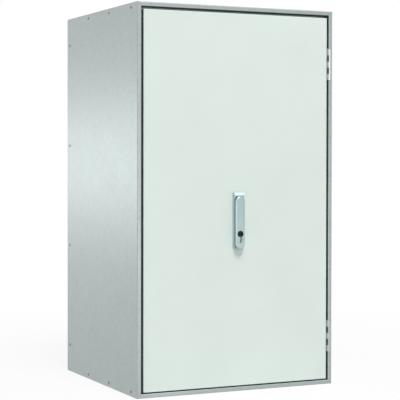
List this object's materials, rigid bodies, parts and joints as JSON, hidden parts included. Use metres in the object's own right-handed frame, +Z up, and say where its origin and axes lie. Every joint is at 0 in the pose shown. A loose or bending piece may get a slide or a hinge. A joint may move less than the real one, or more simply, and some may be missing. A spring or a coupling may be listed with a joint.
{
  "type": "roadside utility cabinet",
  "caption": "Upright sheet-metal outdoor cabinet with one flush hinged door, a lift-and-turn swing handle, a profile lock and rods that bolt the door above and below.",
  "frame": {"origin": "middle of the cabinet body's footprint, on its underside", "axes": "+Z up; the door faces -Y; +X to the right seen from the front, on the hinge side"},
  "size_m": [0.6024, 0.566, 1.06],
  "materials": {
    "body_sheet": "satin",
    "rivets": "satin",
    "door_paint": "satin",
    "hinge_steel": "satin",
    "handle_metal": "satin",
    "lock_brass": "satin nickel",
    "cast_case": "cast zinc",
    "rod_steel": "zinc plated",
    "zinc_plate": "zinc plated",
    "fasteners": "zinc plated",
    "brass_nut": "plain",
    "seal_rubber": "foam",
    "guide_plastic": "matte"
  },
  "bodies": {
    "cabinet": {"left_side_panel": "body_sheet", "right_side_panel": "body_sheet", "roof_panel": "body_sheet", "floor_panel": "body_sheet", "rear_panel": "body_sheet", "left_side_rivets": "rivets", "right_side_rivets": "rivets", "gland_plate": "zinc_plate", "gland_plate_seal": "seal_rubber", "gland_plate_studs": "fasteners", "gland_plate_nuts": "fasteners", "mounting_plate": "zinc_plate", "mounting_plate_studs": "fasteners", "mounting_plate_nuts": "fasteners", "earth_stud": "fasteners", "earth_nut": "brass_nut", "upper_hinge_frame_leaf": "hinge_steel", "lower_hinge_frame_leaf": "hinge_steel", "upper_hinge_pin": "hinge_steel", "lower_hinge_pin": "hinge_steel"},
    "door": {"door_panel": "door_paint", "door_stiffeners": "door_paint", "door_gasket": "seal_rubber", "door_earth_stud": "fasteners", "door_earth_nut": "brass_nut", "upper_hinge_door_leaf": "hinge_steel", "lower_hinge_door_leaf": "hinge_steel", "handle_base": "handle_metal", "handle_clamp": "zinc_plate", "handle_screws": "fasteners", "lock_cylinder": "lock_brass", "cylinder_screw": "fasteners", "rod_gear_case": "cast_case", "rod_gear_cover": "zinc_plate", "rod_gear_screws": "fasteners", "upper_rod_strap": "door_paint", "lower_rod_strap": "door_paint", "upper_lip_guide": "guide_plastic", "lower_lip_guide": "guide_plastic"},
    "handle_spindle": {"spindle": "handle_metal", "drive_pinion": "rod_steel", "pinion_clip": "fasteners"},
    "lever": {"handle_lever": "handle_metal", "lever_pin": "fasteners"},
    "key_plug": {"cylinder_plug": "lock_brass"},
    "upper_lock_rod": {"upper_rod": "rod_steel"},
    "lower_lock_rod": {"lower_rod": "rod_steel"}
  },
  "joints": [
    {"name": "door_hinge", "type": "hinge", "parent": "cabinet", "child": "door", "pos_m": [0.285, -0.2739, 0.53], "axis": [0, 0, 1], "range_deg": [0, 120]},
    {"name": "handle_turn", "type": "hinge", "parent": "door", "child": "handle_spindle", "pos_m": [0, -0.275, 0.5235], "axis": [0, 1, 0], "range_deg": [0, 90]},
    {"name": "lever_lift", "type": "hinge", "parent": "handle_spindle", "child": "lever", "pos_m": [0, -0.286, 0.5305], "axis": [-1, 0, 0], "range_deg": [0, 30]},
    {"name": "key_turn", "type": "hinge", "parent": "door", "child": "key_plug", "pos_m": [0, -0.27, 0.4347], "axis": [0, 1, 0], "range_deg": [0, 90]},
    {"name": "upper_rod_slide", "type": "slide", "parent": "door", "child": "upper_lock_rod", "axis": [0, 0, 1], "range_m": [0, 0.0201]},
    {"name": "lower_rod_slide", "type": "slide", "parent": "door", "child": "lower_lock_rod", "axis": [0, 0, -1], "range_m": [0, 0.0201]}
  ],
  "couplings": [
    {"joint": "upper_rod_slide", "follows": "handle_turn", "m_per_rad": 0.01275},
    {"joint": "lower_rod_slide", "follows": "handle_turn", "m_per_rad": 0.01275}
  ]
}
